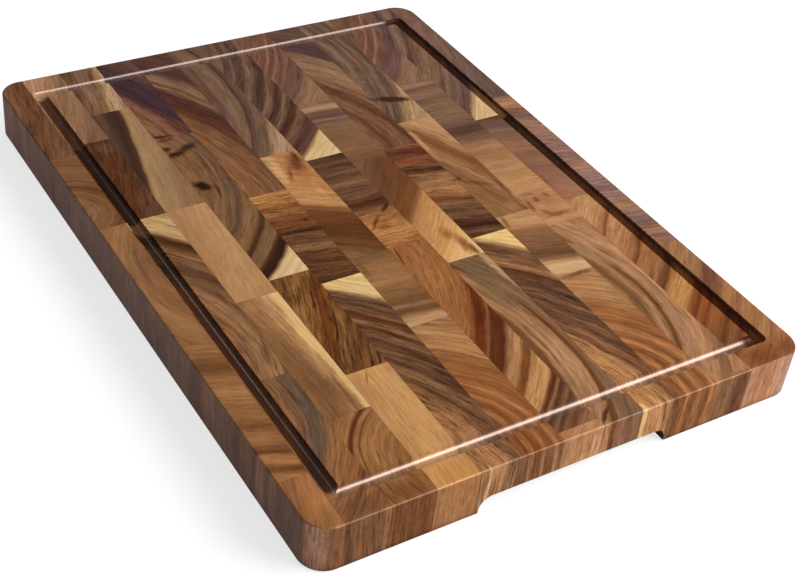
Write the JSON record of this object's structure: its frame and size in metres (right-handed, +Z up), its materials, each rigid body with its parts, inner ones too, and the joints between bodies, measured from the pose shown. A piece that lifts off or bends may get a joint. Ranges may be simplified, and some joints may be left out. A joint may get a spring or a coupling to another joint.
{
  "type": "end-grain cutting board",
  "caption": "Rectangular end-grain butcher-block cutting board glued from upright hardwood blocks, with a juice groove round the top and finger recesses under both short ends.",
  "frame": {"origin": "centre of the flat underside of the board", "axes": "+X along the length, +Y across the rows of blocks, +Z up through the thickness; the grooved face is +Z"},
  "size_m": [0.508, 0.368, 0.036],
  "materials": {
    "heartwood_brown": "satin",
    "heartwood_dark": "satin",
    "heartwood_tan": "satin",
    "heartwood_rust": "satin",
    "heartwood_grey": "satin",
    "heartwood_mauve": "satin",
    "sapwood_blend": "satin"
  },
  "bodies": {
    "root": {"row_a_block_1": "heartwood_rust", "row_a_block_2": "heartwood_brown", "row_a_block_3": "heartwood_brown", "row_a_block_4": "heartwood_tan", "row_a_block_5": "heartwood_tan", "row_b_block_1": "heartwood_tan", "row_b_block_2": "heartwood_dark", "row_b_block_3": "heartwood_brown", "row_b_block_4": "heartwood_grey", "row_c_block_1": "heartwood_tan", "row_c_block_2": "heartwood_grey", "row_c_block_3": "heartwood_tan", "row_c_block_4": "heartwood_tan", "row_c_block_5": "heartwood_rust", "row_d_block_1": "heartwood_mauve", "row_d_block_2": "heartwood_brown", "row_d_block_3": "heartwood_dark", "row_d_block_4": "heartwood_tan", "row_e_block_1": "heartwood_brown", "row_e_block_2": "heartwood_dark", "row_e_block_3": "heartwood_grey", "row_f_block_1": "heartwood_grey", "row_f_block_2": "sapwood_blend", "row_f_block_3": "heartwood_grey", "row_f_block_4": "heartwood_rust", "row_g_block_1": "heartwood_grey", "row_g_block_2": "heartwood_dark", "row_g_block_3": "heartwood_rust", "row_g_block_4": "heartwood_tan", "row_h_block_1": "heartwood_brown", "row_h_block_2": "heartwood_grey", "row_h_block_3": "sapwood_blend", "row_h_block_4": "heartwood_grey", "row_i_block_1": "heartwood_brown", "row_i_block_2": "heartwood_dark", "row_i_block_3": "heartwood_grey", "row_j_block_1": "heartwood_grey", "row_j_block_2": "heartwood_brown", "row_j_block_3": "heartwood_grey", "row_j_block_4": "heartwood_rust", "row_k_block_1": "heartwood_brown", "row_k_block_2": "heartwood_grey", "row_k_block_3": "heartwood_tan", "row_k_block_4": "heartwood_brown", "row_l_block_1": "heartwood_grey", "row_l_block_2": "heartwood_mauve", "row_l_block_3": "heartwood_rust", "row_m_block_1": "heartwood_mauve", "row_m_block_2": "heartwood_brown", "row_m_block_3": "heartwood_mauve", "row_m_block_4": "heartwood_brown"}
  },
  "joints": []
}
